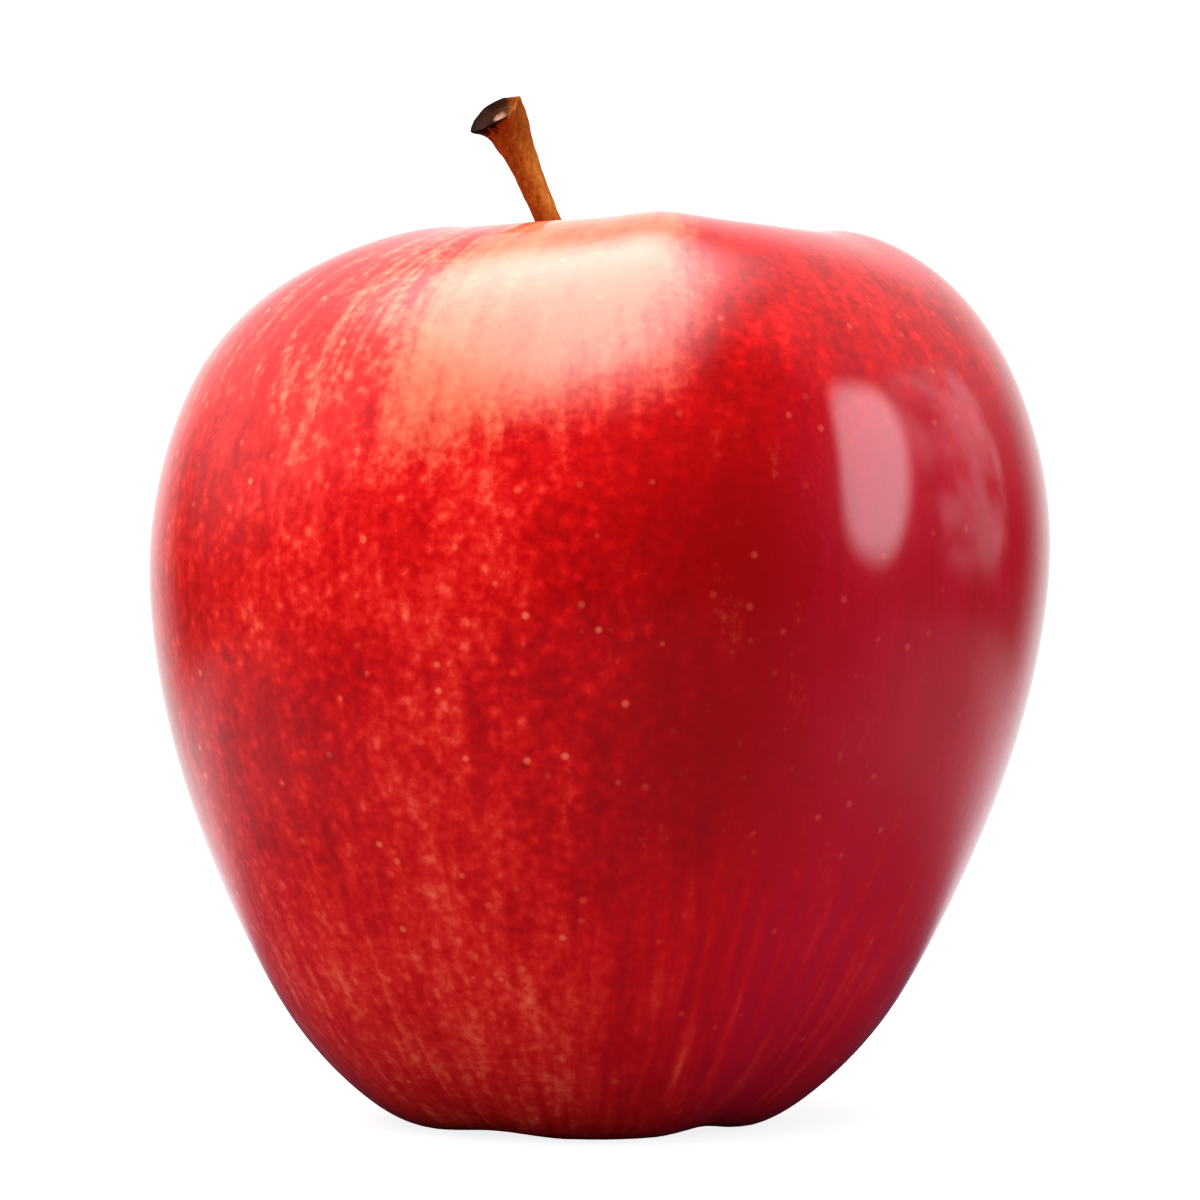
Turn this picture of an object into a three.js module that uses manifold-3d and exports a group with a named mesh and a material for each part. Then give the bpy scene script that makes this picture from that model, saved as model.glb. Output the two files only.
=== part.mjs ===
// A ripe red apple with its woody stem and, in the basin under it, what is left of the flower:
// five dried sepals, a ring of withered stamens and the stub of the styles.
// Millimetres, +Z up. The origin is on the surface that the apple stands on, under the middle of its box.
// The front of the apple faces -Y. Angles run counterclockwise from +X, seen from above.

import * as THREE from 'three';
import { mergeVertices } from 'three/addons/utils/BufferGeometryUtils.js';
import Module from 'manifold-3d';

// The fruit's outline in a plane through its axis, as the poles [radius, height] of a cubic B-spline,
// from the floor of the stem cavity, over the shoulder and the cheek, to the end of the calyx tube.
const OUTLINE_POLES = [
  [0, 58], [2.2, 58.5], [4.5, 63], [7.6, 68.8], [12, 71.5], // stem cavity
  [16.5, 72.2], [21.4, 70.9], [27.4, 67.7], [32.8, 62], // rim and shoulder
  [35.7, 54.4], [36.8, 45.8], [35.6, 36.2], [33, 26.8], [29, 17.5], // cheek
  [24.4, 8.7], [18.8, 2.7], [13.5, -0.8], // the foot that the apple stands on
  [9.9, 1.2], [8.1, 6.4], [5.8, 10.9], // calyx basin
  [3.1, 11], [2.7, 13.6], [1.6, 15.6], [0, 15.6], // calyx tube
];
const ROWS_PER_SPAN = 2.5;
const FRUIT_AROUND = 64;

// Five carpels swell the fruit into five broad lobes with narrow valleys between them.
const LOBES = {
  count: 5,
  firstAngle: THREE.MathUtils.degToRad(-84),
  straying: 0.35, // the most by which a lobe strays from its fifth of the round, in radians of its wave
  strayingStart: 0.6,
  breadth: 0.2, // flattens the lobes and narrows the valleys
  heightOnRim: 0.6,
  dropAtFoot: 0.2,
  ribInBasin: 0.7,
  cheekSwell: 0.005, // shares of the radius
  endSwell: 0.014,
  tallestAngle: THREE.MathUtils.degToRad(-34), // the lobes stand out most on this side
  tallestGain: 0.3,
  calmAngles: [THREE.MathUtils.degToRad(-48), THREE.MathUtils.degToRad(-120)],
  calm: 0.9, // how much of the valleys at these angles is lost near the rim
};
const OVALITY = 0.007;
const LEAN = 0.028; // sideways shift of the axis for each millimetre of height
const WAIST_HEIGHT = 45;
const SHOULDER_TILT = 0.5; // the front shoulder stands this much over the middle, the back one under it
const SHOULDER_TILT_ANGLE = THREE.MathUtils.degToRad(-100);
const CAVITY_SHIFT = 2.6; // the stem cavity lies this much to the right of the axis

// The heights, the radii or, for a calm valley, the cosines between which each of these changes comes in.
const FADE = {
  shoulderHeight: [46, 71],
  rimHeight: [56, 71],
  footHeight: [3, 30],
  calmFacing: [0.8, 1],
  cavityHeight: [45, 56],
  cavityRadius: [12, 34],
  basinRadius: [6, 13],
  axisRadius: [1, 13],
  tubeRadius: [3.5, 7],
};

// The stem. Its root sits in a socket in the cavity floor.
const STEM_PATH = new THREE.CatmullRomCurve3(
  [[3.6, 0.3, 55.4], [2.4, 0.2, 60], [-0.5, -0.1, 66], [-3.6, -0.6, 72.4], [-6, -1.2, 78], [-8, -1.8, 82.7]]
    .map((point) => new THREE.Vector3(...point)),
);
const STEM = {
  waistRadius: 0.98,
  rootRadius: 1.45,
  endRadius: 2.45,
  endFlare: 11, // the higher, the shorter the flare
  heel: 0.1, // how much further the end flares on its left
  endSlant: 0.2, // the end is torn off at a slant, lower on its left
  rows: 20,
  around: 14,
};

// What is left of the flower, around the mouth of the calyx tube.
const SEPAL = {
  count: 5,
  length: 6.6,
  width: 3.5,
  tipWidth: 0.24,
  thickness: 0.5,
  rootRadius: 3.9,
  rootHeight: 10.2,
  droop: 0.72, // the share of the length that goes down
  rootBend: 0.5, // radians from straight down, inwards
  tipCurl: 1.25, // radians that the tip curls back outwards
  cup: 0.25,
  curlVariation: 0.18,
  turnVariation: 0.08,
};
const STAMEN = {
  count: 15,
  radius: 0.17,
  antherRadius: 0.3,
  antherShare: 0.25, // of the length
  ringRadius: 2.0,
  rootHeight: 12.8,
  length: 4.2,
  lengthVariation: 0.5,
  lean: -0.15, // inwards
  leanVariation: 0.3,
};
const STYLES = {
  count: 5,
  radius: 0.2,
  columnRadius: 0.36,
  rootHeight: 14.1,
  forkHeight: 12.5,
  columnEnd: 11.9,
  bendHeight: 10.7,
  tipHeight: 8.4,
  tipHeightVariation: 0.3,
  tipSpread: 0.7,
};

// Grown-together pieces are kept this far apart.
const GAP = 0.3;

// The last edge of a rod, in shares of its radius and of its length.
const ROUNDED_END = [[1, 0.975], [0.93, 0.992], [0.78, 1], [0, 1]];

const wasm = await Module();
wasm.setup();

// A uniform cubic B-spline that leaves and meets the axis of revolution square to it.
class Outline extends THREE.Curve {
  constructor(poles) {
    super();
    const mirrored = ([radius, height]) => [-radius, height];
    this.poles = [mirrored(poles[1]), ...poles, mirrored(poles.at(-2))]
      .map(([radius, height]) => new THREE.Vector2(radius, height));
    this.spans = poles.length - 1;
  }

  getPoint(t, target = new THREE.Vector2()) {
    const span = Math.min(Math.floor(t * this.spans), this.spans - 1);
    const f = t * this.spans - span;
    const weights = [
      (1 - f) ** 3,
      3 * f ** 3 - 6 * f ** 2 + 4,
      -3 * f ** 3 + 3 * f ** 2 + 3 * f + 1,
      f ** 3,
    ];
    target.set(0, 0);
    weights.forEach((weight, k) => target.addScaledVector(this.poles[span + k], weight / 6));
    return target;
  }
}

// Sends every vertex of a geometry where move puts it.
function reshape(geometry, move) {
  const position = geometry.getAttribute('position');
  const vertex = new THREE.Vector3();
  for (let i = 0; i < position.count; i += 1) {
    move(vertex.fromBufferAttribute(position, i));
    position.setXYZ(i, vertex.x, vertex.y, vertex.z);
  }
  geometry.computeVertexNormals();
  return geometry;
}

function solidOf(geometry) {
  const bare = geometry.clone();
  bare.deleteAttribute('normal');
  bare.deleteAttribute('uv');
  const merged = mergeVertices(bare, 1e-3);
  return new wasm.Manifold(new wasm.Mesh({
    numProp: 3,
    vertProperties: new Float32Array(merged.getAttribute('position').array),
    triVerts: new Uint32Array(merged.index.array),
  }));
}

function geometryOf(solid) {
  const { vertProperties, triVerts } = solid.getMesh();
  const geometry = new THREE.BufferGeometry();
  geometry.setAttribute('position', new THREE.BufferAttribute(vertProperties, 3));
  geometry.setIndex(new THREE.BufferAttribute(triVerts, 1));
  geometry.computeVertexNormals();
  return geometry;
}

const fade = (value, [from, to]) => THREE.MathUtils.smoothstep(value, from, to);

// How far a lobe stands out in this direction, from 0.8 on a crest to -1.2 in a valley.
function lobeAt(angle) {
  const straying = LOBES.straying * Math.sin(2 * angle + LOBES.strayingStart);
  const turn = LOBES.count * (angle - LOBES.firstAngle) + straying;
  const gain = 1 + LOBES.tallestGain * Math.cos(angle - LOBES.tallestAngle);
  return gain * (Math.cos(turn) - LOBES.breadth * Math.cos(2 * turn));
}

// Shapes a point of the round fruit into the lobed, leaning one.
function swell(point) {
  const radius = Math.hypot(point.x, point.y);
  const angle = Math.atan2(point.y, point.x);
  const height = point.z;

  const nearShoulder = fade(height, FADE.shoulderHeight);
  const facingCalm = Math.max(...LOBES.calmAngles.map((calmAngle) => Math.cos(angle - calmAngle)));
  const nearRim = fade(height, FADE.rimHeight) * (1 - LOBES.calm * fade(facingCalm, FADE.calmFacing));
  const nearFoot = 1 - fade(height, FADE.footHeight);
  const offAxis = fade(radius, FADE.axisRadius);
  const inBasin = nearFoot * (1 - fade(radius, FADE.basinRadius)) * fade(radius, FADE.tubeRadius);
  const inCavity = fade(height, FADE.cavityHeight) * (1 - fade(radius, FADE.cavityRadius));

  const lobe = lobeAt(angle);
  const swelling = LOBES.cheekSwell + LOBES.endSwell * (nearRim + nearFoot);
  const stretch = 1 + lobe * offAxis * swelling + OVALITY * Math.cos(2 * angle);
  const tilt = SHOULDER_TILT * Math.cos(angle - SHOULDER_TILT_ANGLE);

  point.x = point.x * stretch + LEAN * (height - WAIST_HEIGHT) + CAVITY_SHIFT * inCavity;
  point.y *= stretch;
  point.z += offAxis * (nearRim * lobe * LOBES.heightOnRim + nearShoulder * tilt);
  point.z -= lobe * (nearFoot * offAxis * LOBES.dropAtFoot + inBasin * LOBES.ribInBasin);
}

function makeFruit(stemRoot) {
  const outline = new Outline(OUTLINE_POLES);
  const rows = Math.round(outline.spans * ROWS_PER_SPAN);
  const points = outline.getPoints(rows).reverse();
  points[0].x = 0;
  points.at(-1).x = 0;
  const skin = new THREE.LatheGeometry(points, FRUIT_AROUND).rotateX(Math.PI / 2);
  reshape(skin, swell);
  const aboveTable = new THREE.BoxGeometry(200, 200, 200).translate(0, 0, 100);
  return geometryOf(solidOf(skin).intersect(solidOf(aboveTable)).subtract(solidOf(stemRoot)));
}

// A rod of changing thickness that follows a path. radiusAt takes the share of the length and the angle.
// Both ends go on for the overshoot, and the far end is cut off at a slant.
function makeRod({ path, radiusAt, rows, around, overshoot = 0, slant = 0 }) {
  const side = new THREE.Vector3();
  const front = new THREE.Vector3();
  const profile = [new THREE.Vector2(0, 0)];
  for (let i = 0; i < rows; i += 1) profile.push(new THREE.Vector2(1, i / rows));
  ROUNDED_END.forEach(([radius, share]) => profile.push(new THREE.Vector2(radius, share)));
  const straight = new THREE.LatheGeometry(profile, around).rotateX(Math.PI / 2);
  return reshape(straight, (vertex) => {
    const share = THREE.MathUtils.clamp(vertex.z, 0, 1);
    const angle = Math.atan2(vertex.y, vertex.x);
    const radius = Math.hypot(vertex.x, vertex.y) * radiusAt(share, angle);
    const tangent = path.getTangentAt(share);
    side.set(0, 1, 0).cross(tangent).normalize();
    front.copy(tangent).cross(side);
    vertex.copy(path.getPointAt(share))
      .addScaledVector(tangent, (2 * share - 1) * overshoot + slant * share ** 12 * radius * Math.cos(angle))
      .addScaledVector(side, radius * Math.cos(angle))
      .addScaledVector(front, radius * Math.sin(angle));
  });
}

function stemRadius(share, angle) {
  const root = (STEM.rootRadius - STEM.waistRadius) * (1 - share) ** 2;
  const end = (STEM.endRadius - STEM.waistRadius) * share ** STEM.endFlare;
  const heel = 1 - STEM.heel * share ** STEM.endFlare * Math.cos(angle);
  return (STEM.waistRadius + root + end) * heel;
}

const makeStem = (clearance = 0) => makeRod({
  path: STEM_PATH,
  radiusAt: (share, angle) => stemRadius(share, angle) + clearance,
  rows: STEM.rows,
  around: STEM.around,
  overshoot: clearance,
  slant: STEM.endSlant,
});

// A pointed leaf that hangs from the rim of the calyx tube, leans in and curls outward at its tip.
function makeSepal(curl) {
  const blade = new THREE.BoxGeometry(1, 1, 1, 6, 9, 1).translate(0, 0.5, 0);
  return reshape(blade, (vertex) => {
    const along = vertex.y;
    const across = vertex.x * 2;
    const outline = (1 - along ** 1.6) * (0.8 + 0.4 * Math.sin(Math.PI * along));
    const halfWidth = (SEPAL.width * outline + SEPAL.tipWidth) / 2;
    const bend = SEPAL.rootBend - curl * along;
    const reach = SEPAL.length * along * (SEPAL.rootBend - (curl * along) / 2);
    const drop = SEPAL.length * along * SEPAL.droop;
    const cup = SEPAL.cup * across ** 2 * (1 - along);
    const thickness = vertex.z * SEPAL.thickness * (1 - along / 2);
    vertex.set(
      SEPAL.rootRadius - reach + cup + thickness * Math.cos(bend),
      -across * halfWidth,
      SEPAL.rootHeight - drop + thickness * Math.sin(bend),
    );
  });
}

// A withered thread with what is left of its anther, from the wall of the tube down past its mouth.
function makeStamen(lean, length) {
  const at = (radius, share) => new THREE.Vector3(radius, 0, STAMEN.rootHeight - share * length);
  const ring = STAMEN.ringRadius;
  const alongAnther = (share) => Math.max(0, (share - 1 + STAMEN.antherShare) / STAMEN.antherShare);
  const bulge = (share) => Math.sin(Math.PI * 0.8 * alongAnther(share));
  return makeRod({
    path: new THREE.QuadraticBezierCurve3(at(ring, 0), at(ring + 0.1, 0.6), at(ring + lean, 1)),
    radiusAt: (share) => STAMEN.radius + (STAMEN.antherRadius - STAMEN.radius) * bulge(share),
    rows: 8,
    around: 6,
  });
}

// Five styles that are joined at the root.
function makeStyles() {
  const rod = (path, radius, rows, around) => (
    solidOf(makeRod({ path, radiusAt: () => radius, rows, around }))
  );
  const middle = (height) => new THREE.Vector3(0, 0, height);
  let joined = rod(
    new THREE.LineCurve3(middle(STYLES.rootHeight), middle(STYLES.columnEnd)),
    STYLES.columnRadius,
    2,
    10,
  );
  for (let i = 0; i < STYLES.count; i += 1) {
    const angle = ((i + 0.25) / STYLES.count) * 2 * Math.PI;
    const tipHeight = STYLES.tipHeight + STYLES.tipHeightVariation * (i % 2);
    const at = (spread, height) => new THREE.Vector3(
      STYLES.tipSpread * spread * Math.cos(angle),
      STYLES.tipSpread * spread * Math.sin(angle),
      height,
    );
    const path = new THREE.QuadraticBezierCurve3(
      at(0.17, STYLES.forkHeight),
      at(0.4, STYLES.bendHeight),
      at(1, tipHeight),
    );
    joined = joined.add(rod(path, STYLES.radius, 4, 6));
  }
  return geometryOf(joined);
}

const skinRed = new THREE.MeshStandardMaterial({ color: 0xb01018, roughness: 0.32, metalness: 0 });
const stemBrown = new THREE.MeshStandardMaterial({ color: 0x7a4318, roughness: 0.65, metalness: 0 });
const driedLeaf = new THREE.MeshStandardMaterial({ color: 0x6b5a3c, roughness: 0.9, metalness: 0 });
const witheredThread = new THREE.MeshStandardMaterial({ color: 0x3f2c1a, roughness: 0.9, metalness: 0 });

function named(name, geometry, material) {
  const mesh = new THREE.Mesh(geometry, material);
  mesh.name = name;
  return mesh;
}

const apple = new THREE.Group();
const fruit = named('fruit', makeFruit(makeStem(GAP)), skinRed);
apple.add(fruit, named('stem', makeStem(), stemBrown));

// No two sepals or stamens are alike: these sines differ from one to the next.
const flower = new THREE.Group();
flower.add(named('styles', makeStyles(), witheredThread));
for (let i = 0; i < SEPAL.count; i += 1) {
  const curl = SEPAL.tipCurl + SEPAL.curlVariation * Math.sin(2.4 * i);
  const sepal = named(`sepal_${i + 1}`, makeSepal(curl), driedLeaf);
  sepal.rotation.z = (i / SEPAL.count) * 2 * Math.PI + SEPAL.turnVariation * Math.sin(3.1 * i);
  flower.add(sepal);
}
for (let i = 0; i < STAMEN.count; i += 1) {
  const lean = STAMEN.lean + STAMEN.leanVariation * Math.sin(2.1 * i);
  const length = STAMEN.length + STAMEN.lengthVariation * Math.sin(1.7 * i);
  const stamen = named(`stamen_${i + 1}`, makeStamen(lean, length), witheredThread);
  stamen.rotation.z = ((i + 0.5) / STAMEN.count) * 2 * Math.PI;
  flower.add(stamen);
}
apple.add(flower);

// The flower follows the lean of the axis, and the middle of the fruit's box comes over the origin.
flower.position.x = LEAN * (SEPAL.rootHeight - WAIST_HEIGHT);
fruit.geometry.computeBoundingBox();
const middle = fruit.geometry.boundingBox.getCenter(new THREE.Vector3());
apple.children.forEach((child) => {
  child.position.x -= middle.x;
  child.position.y -= middle.y;
});

export default apple;
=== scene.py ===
from functools import partial
from math import cos, pi, radians, sin

import bpy
import numpy as np
from mathutils import Matrix, Vector, noise


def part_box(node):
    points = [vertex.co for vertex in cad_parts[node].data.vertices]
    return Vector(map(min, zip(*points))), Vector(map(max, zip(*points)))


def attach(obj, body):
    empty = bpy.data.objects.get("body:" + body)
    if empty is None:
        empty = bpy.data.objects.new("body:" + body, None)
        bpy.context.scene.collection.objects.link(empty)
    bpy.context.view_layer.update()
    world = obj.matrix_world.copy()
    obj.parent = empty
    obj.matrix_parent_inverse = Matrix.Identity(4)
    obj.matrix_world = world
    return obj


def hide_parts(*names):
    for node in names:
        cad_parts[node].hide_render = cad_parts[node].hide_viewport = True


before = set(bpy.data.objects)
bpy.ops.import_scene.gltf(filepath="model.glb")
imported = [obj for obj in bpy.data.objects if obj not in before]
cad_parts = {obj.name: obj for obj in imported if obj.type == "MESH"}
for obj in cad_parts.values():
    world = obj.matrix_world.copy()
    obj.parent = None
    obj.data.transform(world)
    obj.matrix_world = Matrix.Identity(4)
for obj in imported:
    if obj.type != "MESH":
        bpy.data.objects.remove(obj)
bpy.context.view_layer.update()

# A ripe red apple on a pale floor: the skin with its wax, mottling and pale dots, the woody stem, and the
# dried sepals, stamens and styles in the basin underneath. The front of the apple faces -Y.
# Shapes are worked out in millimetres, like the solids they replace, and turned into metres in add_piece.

MM = 0.001

# ---------------------------------------------------------------------------------------------------------
# Shader maths


class Wire:
    """An output socket in a node tree. Arithmetic on it adds Math nodes, and node() adds any other node."""

    def __init__(self, tree, socket=None):
        self.tree = tree
        self.socket = socket

    def node(self, kind, settings=None, sockets=None, output=0):
        made = self.tree.nodes.new(kind)
        for name, value in (settings or {}).items():
            if name == "stops":
                set_stops(made.color_ramp, value)
            else:
                setattr(made, name, value)
        set_sockets(made, sockets or {})
        return Wire(self.tree, made.outputs[output])

    def other(self, output):
        """Another output of the node that this one belongs to."""
        return Wire(self.tree, self.socket.node.outputs[output])

    def math(self, operation, *values):
        return self.node("ShaderNodeMath", {"operation": operation}, dict(enumerate(values)))

    def __add__(self, other):
        return self.math("ADD", self, other)

    def __sub__(self, other):
        return self.math("SUBTRACT", self, other)

    def __rsub__(self, other):
        return self.math("SUBTRACT", other, self)

    def __mul__(self, other):
        return self.math("MULTIPLY", self, other)

    def __pow__(self, other):
        return self.math("POWER", self, other)

    def __abs__(self):
        return self.math("ABSOLUTE", self)

    __radd__ = __add__
    __rmul__ = __mul__


def set_sockets(node, sockets):
    """Links each of these sockets of a node to its wire, or gives it its value."""
    for key, value in sockets.items():
        if isinstance(value, Wire):
            value.tree.links.new(value.socket, node.inputs[key])
        else:
            node.inputs[key].default_value = value


def set_stops(ramp, stops):
    while len(ramp.elements) < len(stops):
        ramp.elements.new(1.0)
    for element, (position, colour) in zip(ramp.elements, stops):
        element.position = position
        element.color = (*colour, 1.0)


def fade(value, start, end):
    """0 where value is start or before it, 1 from end on, and smooth between."""
    sockets = {"Value": value, "From Min": start, "From Max": end}
    return value.node("ShaderNodeMapRange", {"interpolation_type": "SMOOTHSTEP"}, sockets)


def mixed(factor, first, second):
    """A colour between two, each a Wire or a colour. On a Mix node, socket 0 is the factor, sockets 6 and 7
    are the two colours, and output 2 is the colour made of them."""
    settings = {"data_type": "RGBA"}
    colours = {6: first, 7: second}
    sockets = {key: value if isinstance(value, Wire) else (*value, 1.0) for key, value in colours.items()}
    return factor.node("ShaderNodeMix", settings, {0: factor, **sockets}, output=2)


def stretched(vector, x, y, z):
    return vector.node("ShaderNodeVectorMath", {"operation": "MULTIPLY"}, {0: vector, 1: (x, y, z)})


def shifted(vector, middle):
    """A vector as it is seen from a place."""
    return vector.node("ShaderNodeVectorMath", {"operation": "SUBTRACT"}, {0: vector, 1: middle})


def length(vector):
    return vector.node("ShaderNodeVectorMath", {"operation": "LENGTH"}, {0: vector}, output="Value")


def mottle(vector, scale, detail=2.0, roughness=0.5):
    """Soft noise around 0.5."""
    sockets = {"Vector": vector, "Scale": scale, "Detail": detail, "Roughness": roughness}
    return vector.node("ShaderNodeTexNoise", {}, sockets)


def along(vector, direction):
    """How far a vector reaches along a direction."""
    settings = {"operation": "DOT_PRODUCT"}
    return vector.node("ShaderNodeVectorMath", settings, {0: vector, 1: direction}, output="Value")


def cells(vector, scale):
    """The distance to the middle of the nearest cell of a random pattern."""
    return vector.node("ShaderNodeTexVoronoi", {}, {"Vector": vector, "Scale": scale}, output="Distance")


def place_in_mm(start):
    return stretched(start.node("ShaderNodeTexCoord", output="Object"), 1 / MM, 1 / MM, 1 / MM)


def ready_made(start, kind):
    """The node of this kind that a new tree comes with."""
    return next(node for node in start.tree.nodes if node.type == kind)


def new_material(name):
    """A material, the start of its wires and its shader's node."""
    material = bpy.data.materials.new(name)
    material.use_nodes = True
    start = Wire(material.node_tree)
    return material, start, ready_made(start, "BSDF_PRINCIPLED")


def bumped(height, depth):
    """A normal that is tilted by a relief of this depth in millimetres."""
    return height.node("ShaderNodeBump", {}, {"Height": height, "Distance": depth * MM})


# ---------------------------------------------------------------------------------------------------------
# Building meshes


def add_piece(name, vertices, faces, material, replaced):
    """Makes an object from points in millimetres, and ties it to the frame."""
    mesh = bpy.data.meshes.new(name)
    mesh.from_pydata(np.asarray(vertices) * MM, [], faces)
    mesh.shade_smooth()
    mesh.materials.append(material)
    piece = bpy.data.objects.new(name, mesh)
    bpy.context.scene.collection.objects.link(piece)
    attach(piece, "root")
    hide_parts(replaced)
    return piece


def wrap(rings, top, bottom):
    """Closes rings that follow each other downwards, counterclockwise from above, between two points."""
    rings = np.asarray(rings)
    rows, columns = rings.shape[:2]
    vertices = [*rings.reshape(-1, 3), top, bottom]
    top_index = rows * columns
    bottom_index = top_index + 1
    faces = []
    for column in range(columns):
        after = (column + 1) % columns
        last = (rows - 1) * columns
        faces.append((top_index, column, after))
        faces.append((bottom_index, last + after, last + column))
        for row in range(rows - 1):
            here = row * columns
            below = here + columns
            faces.append((here + column, below + column, below + after, here + after))
    return vertices, faces


def smoothstep(value, start, end):
    share = np.clip((value - start) / (end - start), 0.0, 1.0)
    return share * share * (3.0 - 2.0 * share)


def rough(point, wavelength, seed=0.0):
    """Smooth random relief between about -1 and 1."""
    return noise.noise(Vector(point) / wavelength + Vector((seed, 2.0 * seed, -seed)))


# ---------------------------------------------------------------------------------------------------------
# The fruit

# The outline in a plane through the axis, as the poles (radius, height) of a cubic B-spline, from the floor
# of the stem cavity to the end of the calyx tube.
OUTLINE_POLES = [
    (0, 58), (2.2, 58.5), (4.5, 63), (7.6, 68.8), (12, 71.5), (16.5, 72.2), (21.4, 70.9), (27.4, 67.7),
    (32.8, 62), (35.7, 54.4), (36.8, 45.8), (35.6, 36.2), (33, 26.8), (29, 17.5), (24.4, 8.7), (18.8, 2.7),
    (13.5, -0.8), (9.9, 1.2), (8.1, 6.4), (5.8, 10.9), (3.1, 11), (2.7, 13.6), (1.6, 15.6), (0, 15.6),
]
FRUIT_ROWS = 300
FRUIT_COLUMNS = 320
OUTLINE_SAMPLES = 4000
WAIST_RADIUS = 36.0
WAIST_HEIGHT = 45.0
LEAN = 0.028  # sideways for each millimetre of height
OVALITY = 0.007
CAVITY_SHIFT = 2.6  # how far the stem cavity lies to the right of the axis
SHOULDER_TILT = 0.5
SHOULDER_TILT_ANGLE = radians(-100)

# Five carpels swell the fruit into five lobes. Near the rim, two of the valleys nearly fade out.
LOBE_COUNT = 5
FIRST_LOBE = radians(-84)
LOBE_STRAYING = 0.35
LOBE_BREADTH = 0.2
TALLEST_LOBE = radians(-34)
TALLEST_GAIN = 0.3
CALM_VALLEYS = (radians(-48), radians(-120))
CALM = 0.9
CHEEK_SWELL = 0.005
END_SWELL = 0.014
LOBE_HEIGHT_ON_RIM = 0.6
LOBE_DROP_AT_FOOT = 0.2
RIB_IN_BASIN = 0.7

# The heights, the radii or, for a calm valley, the cosines between which each of these changes comes in.
SHOULDER_HEIGHT = (46, 71)
RIM_HEIGHT = (56, 71)
FOOT_HEIGHT = (3, 30)
CALM_FACING = (0.8, 1)
CAVITY_HEIGHT = (45, 56)
CAVITY_RADIUS = (12, 34)
BASIN_RADIUS = (6, 13)
AXIS_RADIUS = (1, 13)
TUBE_RADIUS = (3.5, 7)

# No grown skin is quite even: broad dents, and faint ridges down the cheeks.
DENT_LENGTH = 11.0
DENT_DEPTH = 0.035
RIDGE_WIDTH = 3.2
RIDGE_HEIGHT = 0.012
RIDGE_STRETCH = 0.15  # the lower, the longer the ridges down the cheeks


def outline_points(count):
    """Evenly spaced (radius, height) along the outline, and the length up to each."""
    poles = np.array(OUTLINE_POLES, float)
    mirror = np.array((-1.0, 1.0))
    poles = np.vstack([poles[1] * mirror, poles, poles[-2] * mirror])
    place = np.linspace(0, len(poles) - 3, OUTLINE_SAMPLES)
    span = np.minimum(place.astype(int), len(poles) - 4)
    f = (place - span)[:, None]
    weights = ((1 - f) ** 3, 3 * f**3 - 6 * f**2 + 4, -3 * f**3 + 3 * f**2 + 3 * f + 1, f**3)
    fine = sum(weight * poles[span + k] for k, weight in enumerate(weights)) / 6
    length = np.concatenate([[0], np.cumsum(np.linalg.norm(np.diff(fine, axis=0), axis=1))])
    even = np.linspace(0, length[-1], count)
    return np.interp(even, length, fine[:, 0]), np.interp(even, length, fine[:, 1]), even


def lobe_at(angle):
    """How far a lobe stands out at this angle: about 0.8 on a crest and -1.2 in a valley, more so near the
    tallest lobe and less so across from it."""
    turn = LOBE_COUNT * (angle - FIRST_LOBE) + LOBE_STRAYING * np.sin(2 * angle + 0.6)
    gain = 1 + TALLEST_GAIN * np.cos(angle - TALLEST_LOBE)
    return gain * (np.cos(turn) - LOBE_BREADTH * np.cos(2 * turn))


def swell(radius, height, angle):
    """Shapes the round fruit into the lobed, leaning one."""
    near_shoulder = smoothstep(height, *SHOULDER_HEIGHT)
    facing_calm = np.max([np.cos(angle - valley) for valley in CALM_VALLEYS], axis=0)
    near_rim = smoothstep(height, *RIM_HEIGHT) * (1 - CALM * smoothstep(facing_calm, *CALM_FACING))
    near_foot = 1 - smoothstep(height, *FOOT_HEIGHT)
    off_axis = smoothstep(radius, *AXIS_RADIUS)
    in_basin = near_foot * (1 - smoothstep(radius, *BASIN_RADIUS)) * smoothstep(radius, *TUBE_RADIUS)
    in_cavity = smoothstep(height, *CAVITY_HEIGHT) * (1 - smoothstep(radius, *CAVITY_RADIUS))

    lobe = lobe_at(angle)
    swelling = CHEEK_SWELL + END_SWELL * (near_rim + near_foot)
    stretch = 1 + lobe * off_axis * swelling + OVALITY * np.cos(2 * angle)
    tilt = SHOULDER_TILT * np.cos(angle - SHOULDER_TILT_ANGLE)

    x = radius * stretch * np.cos(angle) + LEAN * (height - WAIST_HEIGHT) + CAVITY_SHIFT * in_cavity
    y = radius * stretch * np.sin(angle)
    z = height + off_axis * (near_rim * lobe * LOBE_HEIGHT_ON_RIM + near_shoulder * tilt)
    z = z - lobe * (near_foot * off_axis * LOBE_DROP_AT_FOOT + in_basin * RIB_IN_BASIN)
    return np.stack([x, y, z], axis=-1)


def box_middle(node):
    """The middle of a node's box, in millimetres at table height."""
    low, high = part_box(node)
    return np.array([(low[0] + high[0]) / 2 / MM, (low[1] + high[1]) / 2 / MM, 0])


def skin_relief(point):
    ridge_point = (point[0], point[1], point[2] * RIDGE_STRETCH)
    dents = DENT_DEPTH * rough(point, DENT_LENGTH)
    return dents + RIDGE_HEIGHT * rough(ridge_point, RIDGE_WIDTH, 5.0)


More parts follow.
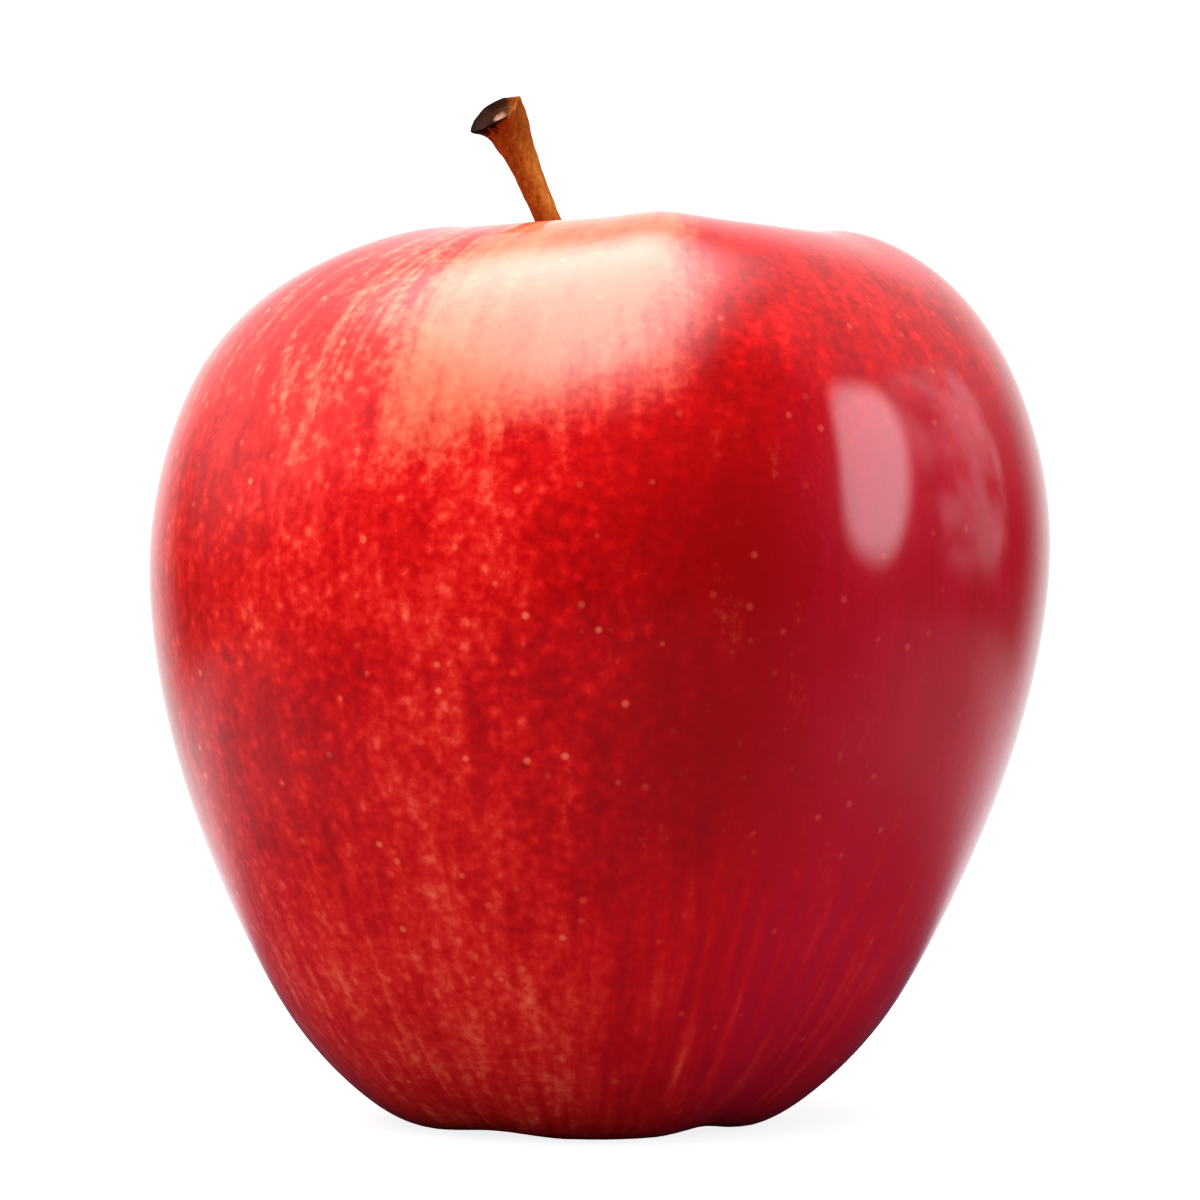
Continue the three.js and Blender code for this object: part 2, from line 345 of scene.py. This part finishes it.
def make_fruit(material):
    radius, height, length_down = outline_points(FRUIT_ROWS + 2)
    angle = np.linspace(0, 2 * pi, FRUIT_COLUMNS, endpoint=False)
    points = swell(radius[1:-1, None], height[1:-1, None], angle[None, :])
    ends = swell(np.zeros(2), height[[0, -1]], np.zeros(2))

    # The fruit stands where its solid does.
    middle = (points.min(axis=(0, 1)) + points.max(axis=(0, 1))) / 2
    shift = box_middle("fruit") - middle * (1, 1, 0)
    points = points + shift
    ends = ends + shift

    # The dents and ridges fade out into the cavity, into the basin and towards the table.
    outward = np.stack([np.cos(angle), np.sin(angle), 0 * angle], axis=-1)
    relief = np.array([[skin_relief(point) for point in row] for row in points])
    fadeout = smoothstep(radius[1:-1], 5, 16) * smoothstep(height[1:-1], 2, 10)
    points = points + outward * (relief * fadeout[:, None])[..., None]
    points[..., 2] = np.maximum(points[..., 2], 0)

    vertices, faces = wrap(points, ends[0], ends[1])
    fruit = add_piece("apple_skin", vertices, faces, material, "fruit")

    # The grain of the skin runs from the stem to the calyx: this attribute gives each point its place round
    # the waist and its distance down the skin.
    around = np.broadcast_to(outward * WAIST_RADIUS, points.shape).copy()
    around[..., 2] = length_down[1:-1, None]
    grain = np.vstack([around.reshape(-1, 3), [[0, 0, 0], [0, 0, length_down[-1]]]])
    attribute = fruit.data.attributes.new("grain", "FLOAT_VECTOR", "POINT")
    attribute.data.foreach_set("vector", grain.astype(np.float32).ravel())


class SkinPlace:
    """Where a point of the skin is, as wires, in millimetres."""

    def __init__(self, start):
        self.place = place_in_mm(start)
        self.grain = start.node("ShaderNodeAttribute", {"attribute_name": "grain"}, output="Vector")
        self.height = along(self.place, (0, 0, 1))
        self.off_axis = length(stretched(self.place, 1, 1, 0))
        self.down = along(self.grain, (0, 0, 1))
        self.facing = stretched(self.grain, 1 / WAIST_RADIUS, 1 / WAIST_RADIUS, 0)

    def side(self, angle, faint_at, full_at):
        """1 on the side at this angle in degrees, fading out where the cosine away from it falls.
        The front is at -90, the right at 0."""
        towards = (cos(radians(angle)), sin(radians(angle)), 0.0)
        return fade(along(self.facing, towards), faint_at, full_at)


# From the deepest crimson over a bright red and salmon to the orange ground.
SKIN_COLOURS = [
    (0.00, (0.28, 0.0003, 0.0012)),
    (0.15, (0.35, 0.0005, 0.002)),
    (0.30, (0.44, 0.0010, 0.003)),
    (0.45, (0.56, 0.004, 0.005)),
    (0.60, (0.66, 0.020, 0.014)),
    (0.75, (0.74, 0.075, 0.045)),
    (0.90, (0.78, 0.14, 0.075)),
    (1.00, (0.80, 0.22, 0.11)),
]
PURPLE_RED = (0.46, 0.002, 0.032)
CREAM = (0.54, 0.165, 0.085)
DOT_COLOUR = (0.82, 0.20, 0.11)
CORK_COLOUR = (0.33, 0.19, 0.07)
FELT_COLOUR = (0.30, 0.22, 0.10)


def skin_material():
    material, start, shader = new_material("waxed apple skin")
    skin = SkinPlace(start)
    side = skin.side

    # The parts of the apple that ripened differently. The left shoulder is also painted a little darker, as
    # shade.
    left = side(-135, 0.45, 0.85)
    back = side(95, 0.2, 0.95)
    shoulder = fade(skin.height, 50, 66)
    foot = 1 - fade(skin.height, 8, 34)
    deepest = side(-64, 0.72, 0.98) * fade(skin.height, 14, 34) * (1 - fade(skin.height, 46, 60))
    cavity_rim = 1 - fade(skin.down - 10 * side(-85, 0.70, 0.97), 13, 27)
    basin = (1 - fade(skin.off_axis, 5, 13)) * (1 - fade(skin.height, 14, 30))
    seam = side(-111, 0.985, 1.0) * fade(skin.height, 10, 20)
    left_shoulder = side(-150, 0.60, 0.90) * shoulder
    half_shaded = side(-118, 0.90, 0.99) * fade(skin.height, 36, 52)

    # The mottling, from the broadest to the finest.
    patches = mottle(skin.grain, 0.06) - 0.5
    blotches = mottle(stretched(skin.grain, 1, 1, 0.6), 0.33) - 0.5
    streaks = mottle(stretched(skin.grain, 1, 1, 0.14), 0.65, 3, 0.55) - 0.5
    specks = mottle(skin.place, 1.3, 2, 0.55) - 0.5
    freckles = 0.65 - fade(cells(skin.place, 0.75), 0.0, 0.60)

    # How pale the skin is, from 0 to 1.
    pale = 0.17 + (0.26 + 0.08 * shoulder) * left + 0.08 * shoulder + (0.27 - 0.11 * left) * foot
    pale = pale + 0.25 * back - 0.13 * deepest + 0.30 * cavity_rim + 0.35 * basin + 0.08 * seam
    # Painted shade: the left shoulder, where the overhead light falls strongly, is painted a little darker.
    pale = pale + 0.11 * half_shaded - 0.05 * left_shoulder
    lively = 0.16 + (0.46 - 0.55 * shoulder - 0.14 * foot) * left + 0.65 * shoulder + 0.05 * foot
    pale = pale + lively * (specks + 0.9 * blotches + (0.34 - 0.14 * foot - 0.18 * shoulder) * freckles)
    streaky = 0.12 + 0.2 * lively + 0.14 * left + (0.75 - 0.60 * left) * foot
    streaky = streaky + 0.35 * shoulder + 0.4 * left_shoulder
    pale = pale + streaky * streaks + 0.35 * patches
    colour = start.node("ShaderNodeValToRGB", {"stops": SKIN_COLOURS}, {"Fac": pale})
    purple = (side(-36, 0.80, 0.97) * (1 - shoulder) + 0.4 * foot) * (1 - left)
    colour = mixed(purple * (0.5 - streaks), colour, PURPLE_RED)

    # A leaf kept the sun off the front shoulder, which stayed cream, with a mottled edge.
    shaded = side(-98, 0.88, 0.985) * fade(skin.height - 16 * along(skin.facing, (1, 0, 0)), 52, 66)
    shaded = fade(shaded + 0.7 * specks + 0.8 * blotches + 0.8 * streaks, 0.15, 1.0)
    colour = mixed(0.75 * shaded, colour, CREAM)

    # Pale breathing dots, cork in the stem cavity, and felt round the calyx.
    dot_cells = cells(skin.place, 0.42)
    strength = fade(along(dot_cells.other("Color"), (1, 0, 0)), 0.1, 0.9)
    dots = (1 - fade(dot_cells, 0.06, 0.17)) * strength
    colour = mixed(dots * (0.20 + 0.46 * left), colour, DOT_COLOUR)
    cork = (1 - fade(skin.down, 5, 13)) * fade(mottle(skin.grain, 0.35, 3), 0.36, 0.6)
    colour = mixed(0.8 * cork, colour, CORK_COLOUR)
    felt = basin * (1 - fade(skin.off_axis + 3 * streaks, 3.5, 7))
    colour = mixed(0.8 * felt, colour, FELT_COLOUR)

    set_sockets(shader, {
        "Base Color": colour,
        "Roughness": 0.41 + 0.10 * specks + 0.25 * cork + 0.3 * felt,
        "Specular IOR Level": 0.08,
        "Coat Weight": 0.85,
        "Coat Roughness": 0.08,
        "Normal": bumped(0.6 * specks + 0.3 * mottle(skin.place, 2.4, 1) + 0.3 * dots, 0.05),
    })
    return material


# ---------------------------------------------------------------------------------------------------------
# The stem

STEM_POINTS = [
    (3.6, 0.3, 55.4), (2.4, 0.2, 60), (-0.5, -0.1, 66), (-3.6, -0.6, 72.4), (-6, -1.2, 78), (-8, -1.8, 82.7),
]
STEM_ROWS = 170
STEM_COLUMNS = 64
STEM_RADIUS = 0.97
ROOT_SWELLING = 0.47
END_SWELLING = 1.5
END_FLARE = 11  # the higher, the shorter the flare
END_HEEL = 0.1  # how much further the end flares on its left
END_SLANT = (0.2, 0.32)
SLANT_ONSET = 12  # the higher, the nearer to the end the rings begin to slant
PATH_SAMPLES = 400
PITH_SPOT = (-8.4, -2.7, 82.0)

# The torn end, as (share of the radius, depth): a raised rim of bark, a groove inside it and the pith.
TORN_END = [
    (0.98, 0.0), (0.92, -0.06), (0.86, 0.0), (0.78, 0.22), (0.66, 0.42), (0.52, 0.46), (0.42, 0.40),
    (0.33, 0.22), (0.22, 0.12), (0.10, 0.10),
]


def path_points(points, count):
    """Points and directions at even steps along a smooth curve through these points."""
    points = np.array(points, float)
    slopes = np.gradient(points, axis=0)
    place = np.linspace(0, len(points) - 1, PATH_SAMPLES)
    span = np.minimum(place.astype(int), len(points) - 2)
    f = (place - span)[:, None]
    fine = (
        (2 * f**3 - 3 * f**2 + 1) * points[span]
        + (f**3 - 2 * f**2 + f) * slopes[span]
        + (3 * f**2 - 2 * f**3) * points[span + 1]
        + (f**3 - f**2) * slopes[span + 1]
    )
    length = np.concatenate([[0], np.cumsum(np.linalg.norm(np.diff(fine, axis=0), axis=1))])
    even = np.linspace(0, length[-1], count)
    spots = np.stack([np.interp(even, length, fine[:, axis]) for axis in range(3)], axis=-1)
    directions = np.gradient(spots, axis=0)
    directions /= np.linalg.norm(directions, axis=1)[:, None]
    return spots, directions


def rod(points, radius_at, rows, columns, slant=(0.0, 0.0), face=((1.0, 0.0),)):
    """A rod along a curve, from its far end down to its root. radius_at takes the share of the length and
    the angle. The far end is cut at a slant, lower on its left and its front, and its face goes inwards in
    steps of (share of the radius, depth)."""
    spots, directions = path_points(points, rows)
    angle = np.linspace(0, 2 * pi, columns, endpoint=False)

    def ring(row, share_of_radius=1.0, depth=0.0):
        share = row / (rows - 1)
        side = np.cross((0, 1, 0), directions[row])
        side /= np.linalg.norm(side)
        back = np.cross(directions[row], side)
        reach = np.array([radius_at(share, around) for around in angle])[:, None] * share_of_radius
        across = reach * np.cos(angle)[:, None]
        behind = reach * np.sin(angle)[:, None]
        lift = share**SLANT_ONSET * (slant[0] * across + slant[1] * behind) - depth
        return spots[row] + across * side + behind * back + lift * directions[row]

    rings = [ring(rows - 1, *step) for step in reversed(face)]
    rings += [ring(row) for row in reversed(range(rows - 1))]
    return wrap(rings, rings[0].mean(axis=0), spots[0])


def stem_radius(share, around):
    """Thicker at the root, flared and torn at the end, and ribbed and knotty all along."""
    root = ROOT_SWELLING * (1 - share) ** 2
    end = END_SWELLING * share**END_FLARE
    heel = 1 - END_HEEL * share**END_FLARE * cos(around)
    ribs = 0.04 * sin(5 * around + 3 * share) + 0.02 * sin(9 * around - 4 * share + 1)
    lip = 0.22 * max(0, -cos(around)) ** 4 - 0.35 * max(0, cos(around - 0.5))
    spot = (3 * cos(around), 3 * sin(around), 30 * share)
    knots = 0.08 * rough(spot, 1.6) + 0.05 * rough(spot, 0.7, 3.0) + 0.35 * end * rough(spot, 2.2, 8.0)
    return (STEM_RADIUS + root + end) * heel * (1 + ribs) * (1 + lip * smoothstep(share, 0.93, 1)) + knots


def make_stem(material):
    # The stem's points are given from the axis of the fruit, and the flower stands where the axis leans to.
    axis = box_middle("styles") - (LEAN * (SEPAL_ROOT_HEIGHT - WAIST_HEIGHT), 0, 0)
    vertices, faces = rod(axis + STEM_POINTS, stem_radius, STEM_ROWS, STEM_COLUMNS, END_SLANT, TORN_END)
    stem = add_piece("woody_stem", vertices, faces, material, "stem")

    # How far up the stem each point is, from 0 to 1, and from 1 at the torn end's rim to 2 at its middle.
    into_end = [2 - i / len(TORN_END) for i in range(len(TORN_END))]
    up_stem = [row / (STEM_ROWS - 1) for row in reversed(range(STEM_ROWS - 1))]
    place = [*np.repeat(into_end + up_stem, STEM_COLUMNS), 2.0, 0.0]
    stem.data.attributes.new("stem_place", "FLOAT", "POINT").data.foreach_set("value", place)


BARK_COLOURS = [
    (0.28, (0.13, 0.026, 0.004)),
    (0.45, (0.23, 0.062, 0.008)),
    (0.60, (0.36, 0.13, 0.022)),
    (0.80, (0.52, 0.25, 0.075)),
]
SHADED_BARK = (0.19, 0.028, 0.006)
GROOVE_BROWN = (0.030, 0.007, 0.003)
LIP_BROWN = (0.010, 0.003, 0.002)
PITH_COLOUR = (0.40, 0.20, 0.13)


def stem_material():
    material, start, shader = new_material("woody stem")
    place = place_in_mm(start)
    stem_place = start.node("ShaderNodeAttribute", {"attribute_name": "stem_place"}, output="Fac")
    left = along(place, (-1, 0, 0))
    # Painted light: the side of the stem that faces the light on the right is painted paler.
    painted_light_right_face = fade(along(place, (0.93, -0.2, 0.37)), 22.6, 24.2)
    fibres = mottle(stretched(place, 1, 1, 0.22), 2.2, 4, 0.6)
    specks = mottle(place, 3.0, 2)

    # The bark is painted paler where it faces the light on the right, and painted darker, as shade, towards
    # the root.
    tone = 0.18 + fibres * 0.40 + specks * 0.18 + 0.16 * painted_light_right_face * fade(stem_place, 0.95, 0.8)
    bark = start.node("ShaderNodeValToRGB", {"stops": BARK_COLOURS}, {"Fac": tone})
    # Painted shade: low down, where the cavity shades the stem, the bark is painted darker and redder.
    bark = mixed(fade(stem_place, 0.72, 0.60) * 0.6, bark, SHADED_BARK)

    # The torn end: its left lip and its groove are nearly black, and the pith is pale.
    groove = fade(stem_place, 0.985, 1.05)
    lip = fade(stem_place + 0.25 * (specks - 0.5), 0.94, 0.99) * fade(left, 7.4, 8.8)
    bark = mixed(groove * fade(left, 6.9, 7.8) * 0.9, bark, GROOVE_BROWN)
    bark = mixed(lip * (1 - 0.6 * fade(stem_place, 1.2, 1.5)), bark, LIP_BROWN)
    from_pith = length(shifted(place, PITH_SPOT)) + 0.4 * (specks - 0.5)
    bark = mixed(groove * (1 - fade(from_pith, 0.4, 0.9)), bark, PITH_COLOUR)
    set_sockets(shader, {
        "Base Color": bark,
        "Roughness": 0.5 + 0.25 * specks,
        "Specular IOR Level": 0.03,
        "Normal": bumped(fibres + 0.4 * specks, 0.18),
    })
    return material


# ---------------------------------------------------------------------------------------------------------
# What is left of the flower

SEPAL_COUNT = 5
SEPAL_LENGTH = 6.6
SEPAL_WIDTH = 3.5
SEPAL_TIP_WIDTH = 0.24
SEPAL_THICKNESS = 0.5
SEPAL_ROOT_RADIUS = 3.9
SEPAL_ROOT_HEIGHT = 10.2
SEPAL_DROOP = 0.72  # the share of the length that goes down
SEPAL_BEND = 0.5  # radians from straight down, inwards, at the root
SEPAL_CURL = 1.25  # radians that the tip curls back outwards
SEPAL_CURL_VARIATION = 0.18
SEPAL_TURN_VARIATION = 0.08
SEPAL_ROWS = 30
SEPAL_COLUMNS = 13

STAMEN_COUNT = 15
STAMEN_RING = 2.0
STAMEN_ROOT_HEIGHT = 12.8
STAMEN_LENGTH = 4.2
STAMEN_LENGTH_VARIATION = 0.5
STAMEN_LEAN = -0.15
STAMEN_LEAN_VARIATION = 0.3
STAMEN_RADIUS = 0.15
ANTHER_SHARE = 0.25

STYLE_COUNT = 5
STYLE_RADIUS = 0.18
STYLE_COLUMN_RADIUS = 0.36
STYLE_COLUMN_HEIGHTS = (14.1, 13.0, 11.9)
STYLE_TIP_VARIATION = 0.3


def turned(points, angle, centre):
    points = np.asarray(points, float)
    x = points[..., 0] * cos(angle) - points[..., 1] * sin(angle) + centre[0]
    y = points[..., 0] * sin(angle) + points[..., 1] * cos(angle) + centre[1]
    return np.stack([x, y, points[..., 2]], axis=-1)


def sepal_point(share, across, face, curl, seed):
    """A point of a pointed leaf: share is 0 at the root and 1 at the tip, and face is 1 or -1."""
    outline = (1 - share**1.6) * (0.8 + 0.4 * sin(pi * share))
    half_width = (SEPAL_WIDTH * outline + SEPAL_TIP_WIDTH) / 2
    bend = SEPAL_BEND - curl * share
    reach = SEPAL_LENGTH * share * (SEPAL_BEND - curl * share / 2)
    drop = SEPAL_LENGTH * share * SEPAL_DROOP
    thinning = (1 - share / 2) * max(1 - abs(across) ** 3, 0.05)
    midrib = 0.10 * (1 - share) * np.exp(-((across / 0.22) ** 2)) * (face < 0)
    thickness = face * SEPAL_THICKNESS / 2 * thinning + midrib
    cup = 0.25 * across * across * (1 - share)
    crinkle = 0.14 * rough((across * 1.5, share * 5, seed), 1.0) * (0.4 + share)
    return (
        SEPAL_ROOT_RADIUS - reach + cup + crinkle + thickness * cos(bend),
        -across * half_width * (1 + 0.08 * rough((share * 9, seed, across), 1.0)),
        SEPAL_ROOT_HEIGHT - drop + thickness * sin(bend),
    )


def make_sepals(material, centre):
    across = np.linspace(-1, 1, SEPAL_COLUMNS)
    outline = [(u, 1) for u in across] + [(u, -1) for u in across[::-1]]
    for i in range(SEPAL_COUNT):
        curl = SEPAL_CURL + SEPAL_CURL_VARIATION * sin(2.4 * i)
        angle = i / SEPAL_COUNT * 2 * pi + SEPAL_TURN_VARIATION * sin(3.1 * i)
        rings = np.array([
            [sepal_point(share, u, face, curl, 7.3 * i) for u, face in reversed(outline)]
            for share in np.linspace(1, 0, SEPAL_ROWS)
        ])
        rings = turned(rings, angle, centre)
        vertices, faces = wrap(rings, rings[0].mean(axis=0), rings[-1].mean(axis=0))
        add_piece(f"dried_sepal_{i + 1}", vertices, faces, material, f"sepal_{i + 1}")


def stamen_radius(share, around, seed):
    along_anther = max(0.0, (share - 1 + ANTHER_SHARE) / ANTHER_SHARE)
    bean = 0.17 * sin(0.8 * pi * along_anther) * (1 + 0.25 * cos(2 * around))
    return STAMEN_RADIUS + bean + 0.03 * rough((share * 9, around, seed), 1.0)


def make_stamens(material, centre):
    for i in range(STAMEN_COUNT):
        lean = STAMEN_LEAN + STAMEN_LEAN_VARIATION * sin(2.1 * i)
        length = STAMEN_LENGTH + STAMEN_LENGTH_VARIATION * sin(1.7 * i)
        path = [
            (STAMEN_RING, 0, STAMEN_ROOT_HEIGHT),
            (STAMEN_RING + 0.05, 0.1 * sin(i), STAMEN_ROOT_HEIGHT - 0.55 * length),
            (STAMEN_RING + lean, 0, STAMEN_ROOT_HEIGHT - length),
        ]
        path = turned(path, (i + 0.5) / STAMEN_COUNT * 2 * pi, centre)
        rounding = [(0.9, 0.0), (0.6, -0.06)]
        radius_at = partial(stamen_radius, seed=i)
        vertices, faces = rod(path, radius_at, rows=22, columns=12, face=rounding)
        name = f"stamen_{i + 1}"
        add_piece(f"withered_{name}", vertices, faces, material, name)


def style_radius(share, around):
    return STYLE_RADIUS + 0.06 * smoothstep(share, 0.85, 1)


def make_styles(material, centre):
    """The column that the styles share at their root, and what is left of each."""
    column = centre + [(0, 0, height) for height in STYLE_COLUMN_HEIGHTS]
    parts = [rod(column, lambda share, around: STYLE_COLUMN_RADIUS, rows=8, columns=16)]
    for i in range(STYLE_COUNT):
        angle = (i + 0.25) / STYLE_COUNT * 2 * pi
        tip_height = 8.4 + STYLE_TIP_VARIATION * (i % 2)
        path = turned([(0.12, 0, 12.5), (0.3, 0, 10.7), (0.7, 0, tip_height)], angle, centre)
        parts.append(rod(path, style_radius, rows=14, columns=10))

    vertices, faces = [], []
    for part_vertices, part_faces in parts:
        start = len(vertices)
        vertices.extend(part_vertices)
        faces.extend(tuple(index + start for index in face) for face in part_faces)
    add_piece("style_stubs", vertices, faces, material, "styles")


LEAF_COLOURS = [(0.25, (0.05, 0.035, 0.015)), (0.5, (0.17, 0.12, 0.055)), (0.75, (0.33, 0.27, 0.15))]
THREAD_COLOURS = [(0.25, (0.02, 0.010, 0.005)), (0.5, (0.08, 0.042, 0.018)), (0.75, (0.22, 0.13, 0.06))]


def dry_material(name, ramp, relief):
    """Dry brown tissue with a fine down."""
    material, start, shader = new_material(name)
    place = place_in_mm(start)
    blotches = mottle(place, 0.9, 4, 0.6)
    down = mottle(stretched(place, 1, 1, 0.5), 7.0, 2)
    colour = start.node("ShaderNodeValToRGB", {"stops": ramp}, {"Fac": blotches * 0.7 + down * 0.3})
    set_sockets(shader, {
        "Base Color": colour,
        "Roughness": 0.75 + 0.2 * down,
        "Specular IOR Level": 0.2,
        "Sheen Weight": 0.3,
        "Sheen Roughness": 0.6,
        "Normal": bumped(down + blotches, relief),
    })
    return material


# ---------------------------------------------------------------------------------------------------------
# The set: floor, light and camera, in metres

LENS = 124.2
SENSOR_WIDTH = 36.0
CAMERA_DISTANCE = 0.340
CAMERA_HEIGHT = 0.0425
FLOOR_FADE = (0.10, 0.34)  # between these distances from the middle the floor melts away
CLEAR_SPOT = (0.008, 0.0115)  # it is clear up to the first distance, and solid from the second


def add_camera():
    camera = bpy.data.objects.new("camera", bpy.data.cameras.new("camera"))
    camera.data.lens = LENS
    camera.data.sensor_width = SENSOR_WIDTH
    camera.data.clip_start = 0.01
    camera.location = (0, -CAMERA_DISTANCE, CAMERA_HEIGHT)
    camera.rotation_euler = (radians(90), 0, 0)
    bpy.context.scene.collection.objects.link(camera)
    bpy.context.scene.camera = camera


def direction(azimuth, elevation):
    """Azimuth 0 is the camera's side, 90 the apple's right."""
    flat = cos(radians(elevation))
    return Vector((sin(radians(azimuth)) * flat, -cos(radians(azimuth)) * flat, sin(radians(elevation))))


def panel(way, middle, roll, half_width, half_height, blur, squareness=2.0):
    """The brightness of a soft panel of light in a direction: an ellipse, or nearer to a rectangle. The last
    factor keeps it on one side of the apple."""
    level = middle.cross((0, 0, 1)).normalized()
    turn = Matrix.Rotation(radians(roll), 3, middle)
    across = abs(along(way, turn @ level)) * (1 / half_width)
    upwards = abs(along(way, turn @ level.cross(middle))) * (1 / half_height)
    reach = (across**squareness + upwards**squareness) ** (1 / squareness)
    return (1 - fade(reach, 1 - blur, 1 + blur)) * fade(along(way, middle), 0.1, 0.2)


def add_world():
    world = bpy.data.worlds.new("studio")
    world.use_nodes = True
    start = Wire(world.node_tree)
    way = start.node("ShaderNodeTexCoord", output="Generated")
    rightwards = along(way, (1, 0, 0))
    backwards = along(way, (0, 1, 0))

    overhead = panel(way, direction(-45, 80), 45, 0.47, 0.62, 0.28, 2.5)
    strip = panel(way, direction(79, 17), -16, 0.17, 0.31, 0.22, 3.0)
    window = panel(way, direction(107, 15), 0, 0.24, 0.30, 0.2, 3.0) * fade(mottle(way, 6.0), 0.3, 0.6)
    left_wall = fade(along(way, direction(-105, 48)), 0.62, 0.92)
    right_wall = fade(along(way, direction(125, 50)), 0.66, 1.0)
    backdrop = fade(backwards, 0.62, 0.95)
    ground = fade(along(way, (0, 0, -1)), 0.0, 0.3) * fade(backwards, -0.4, 0.1)

    # What the wax mirrors, what lights the colours, and the plain white that the camera sees. The two bright
    # panels on the right are faintly blue.
    room = 0.01 + 0.9 * backdrop + 0.8 * left_wall + 0.6 * right_wall + 0.22 * ground
    mirrored = room + (6.4 - room) * overhead * (0.5 + 0.5 * fade(rightwards, -0.55, -0.05))
    mirrored = mirrored + 5.0 * strip + 1.2 * window * (1 - strip)
    spread = 0.53 + 0.5 * (1 - fade(rightwards, -1, 0.2)) + 0.9 * backdrop + 0.65 * left_wall
    spread = spread + 4.6 * overhead + 5.0 * strip
    seen = start.node("ShaderNodeLightPath", output="Is Camera Ray")
    glossy = start.node("ShaderNodeLightPath", output="Is Glossy Ray")
    strength = seen + (1 - seen) * (glossy * mirrored + (1 - glossy) * spread)
    tint = mixed(strip + window, (1, 1, 1), (0.90, 0.92, 1))
    set_sockets(ready_made(start, "BACKGROUND"), {"Color": tint, "Strength": strength})
    bpy.context.scene.world = world


def add_floor():
    reach = FLOOR_FADE[1]
    corners = [(-reach, -reach, 0), (reach, -reach, 0), (reach, reach, 0), (-reach, reach, 0)]
    mesh = bpy.data.meshes.new("floor")
    mesh.from_pydata(corners, [], [(0, 1, 2, 3)])
    floor = bpy.data.objects.new("floor", mesh)
    bpy.context.scene.collection.objects.link(floor)
    material, start, paper = new_material("pale floor")
    mesh.materials.append(material)
    place = start.node("ShaderNodeTexCoord", output="Object")
    distance = length(place)
    backwards = along(place, (0, 1, 0))
    seen = start.node("ShaderNodeLightPath", output="Is Camera Ray")
    glossy = start.node("ShaderNodeLightPath", output="Is Glossy Ray")
    from_above = 1 - start.node("ShaderNodeNewGeometry", output="Backfacing")

    # The wax mirrors a bright floor behind the apple and a dark one before it.
    behind = 0.35 * fade(backwards, -0.08, 0) + 0.65 * fade(backwards, 0, 0.1)
    bright = fade(distance, 0.045, 0.10) * behind
    mirrored = mixed(bright, (0.05, 0.04, 0.06), (0.42, 0.40, 0.42))
    shade = mixed(glossy, mixed(seen, (0.3, 0.3, 0.3), (0.86, 0.86, 0.86)), mirrored)
    set_sockets(paper, {"Base Color": shade, "Roughness": 1.0, "Specular IOR Level": 0.0})

    # The floor melts into the white around it, and the camera sees it only faintly. It is clear from below,
    # and under the calyx basin.
    solid = (1 - fade(distance, *FLOOR_FADE)) * from_above * fade(distance, *CLEAR_SPOT)
    solid = solid * (1 - 0.7 * seen)
    clear = start.node("ShaderNodeBsdfTransparent")
    sockets = {0: solid, 1: clear, 2: Wire(start.tree, paper.outputs["BSDF"])}
    surface = start.node("ShaderNodeMixShader", {}, sockets)
    set_sockets(ready_made(start, "OUTPUT_MATERIAL"), {"Surface": surface})


# ---------------------------------------------------------------------------------------------------------
# The whole scene

add_camera()
add_world()
add_floor()
bpy.context.scene.view_settings.view_transform = "Standard"
bpy.context.scene.view_settings.look = "Medium High Contrast"

make_fruit(skin_material())
make_stem(stem_material())
withered_thread = dry_material("withered thread", THREAD_COLOURS, 0.05)
make_sepals(dry_material("dried sepal", LEAF_COLOURS, 0.10), box_middle("styles"))
make_stamens(withered_thread, box_middle("styles"))
make_styles(withered_thread, box_middle("styles"))
